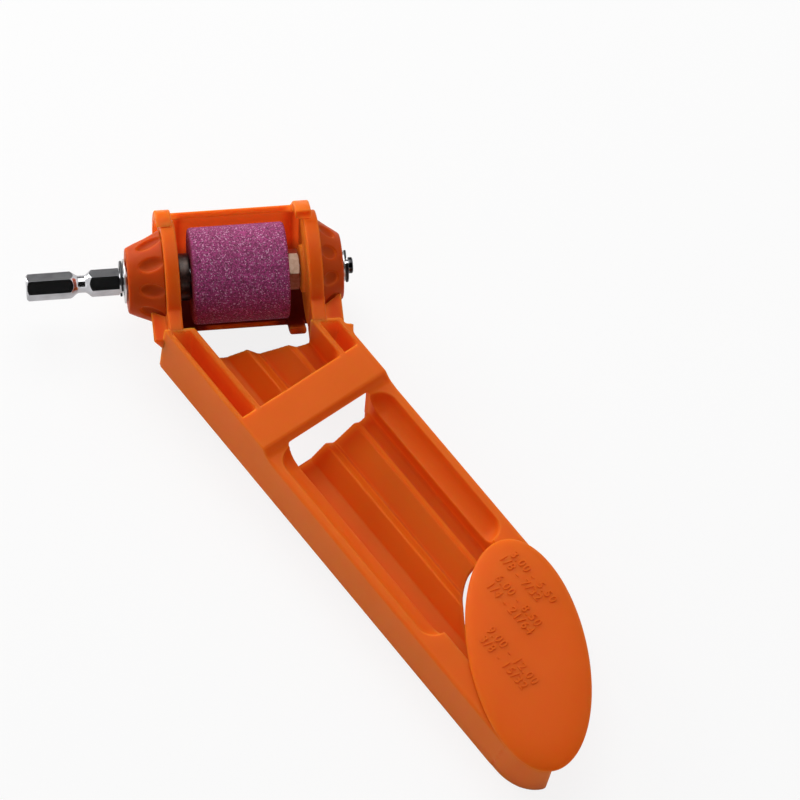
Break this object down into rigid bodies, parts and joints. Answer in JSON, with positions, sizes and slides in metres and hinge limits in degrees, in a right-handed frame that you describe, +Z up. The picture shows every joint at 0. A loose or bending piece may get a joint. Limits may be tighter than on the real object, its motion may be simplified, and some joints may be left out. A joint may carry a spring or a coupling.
{
  "type": "drill bit sharpener",
  "caption": "Hand-held drill bit sharpener: moulded trough handle with oval thumb plate, grinding wheel on a ball-bearing spindle and hexagon shank for a power drill.",
  "frame": {"origin": "centre of the bounding box's bottom face, on the surface that the part lies on", "axes": "+Z up; +Y along the handle from the tail to the wheel head; +X across the handle, away from the shank. The handle leans 2.2 degrees about the spindle, because the part lies on its guard and its tail"},
  "size_m": [0.0788, 0.2012, 0.0348],
  "materials": {
    "orange_plastic": "satin-gloss moulded orange plastic",
    "plated_steel": "bright plated steel",
    "pink_corundum": "matte bonded pink abrasive with sparkling grains",
    "black_steel": "blackened steel",
    "zinc_steel": "zinc-plated steel",
    "bearing_steel": "ground bearing steel"
  },
  "bodies": {
    "handle": {"handle_body": "orange_plastic", "wheel_guard": "orange_plastic", "drive_end_cap": "orange_plastic", "far_end_cap": "orange_plastic", "drive_bearing_outer": "bearing_steel", "far_bearing_outer": "bearing_steel"},
    "spindle_and_wheel": {"spindle": "plated_steel", "grinding_wheel": "pink_corundum", "wheel_collar": "black_steel", "wheel_nut": "zinc_steel", "drive_washer": "zinc_steel", "far_washer": "zinc_steel", "drive_clip": "black_steel", "far_clip": "black_steel", "drive_bearing_inner": "bearing_steel", "far_bearing_inner": "bearing_steel"},
    "drive_cage": {"drive_bearing_cage": "bearing_steel", "drive_bearing_ball_1": "bearing_steel", "drive_bearing_ball_2": "bearing_steel", "drive_bearing_ball_3": "bearing_steel", "drive_bearing_ball_4": "bearing_steel", "drive_bearing_ball_5": "bearing_steel", "drive_bearing_ball_6": "bearing_steel", "drive_bearing_ball_7": "bearing_steel", "drive_bearing_ball_8": "bearing_steel"},
    "far_cage": {"far_bearing_cage": "bearing_steel", "far_bearing_ball_1": "bearing_steel", "far_bearing_ball_2": "bearing_steel", "far_bearing_ball_3": "bearing_steel", "far_bearing_ball_4": "bearing_steel", "far_bearing_ball_5": "bearing_steel", "far_bearing_ball_6": "bearing_steel", "far_bearing_ball_7": "bearing_steel"}
  },
  "joints": [
    {"name": "spindle_spin", "type": "hinge", "parent": "handle", "child": "spindle_and_wheel", "pos_m": [0.00251, 0.07364, 0.0183], "axis": [0.8572, -0.515, 0], "continuous": true},
    {"name": "drive_cage_spin", "type": "hinge", "parent": "handle", "child": "drive_cage", "pos_m": [0.00251, 0.07364, 0.0183], "axis": [0.8572, -0.515, 0], "continuous": true},
    {"name": "far_cage_spin", "type": "hinge", "parent": "handle", "child": "far_cage", "pos_m": [0.00251, 0.07364, 0.0183], "axis": [0.8572, -0.515, 0], "continuous": true}
  ],
  "couplings": [
    {"joint": "drive_cage_spin", "follows": "spindle_spin", "ratio": 0.41667},
    {"joint": "far_cage_spin", "follows": "spindle_spin", "ratio": 0.4}
  ]
}
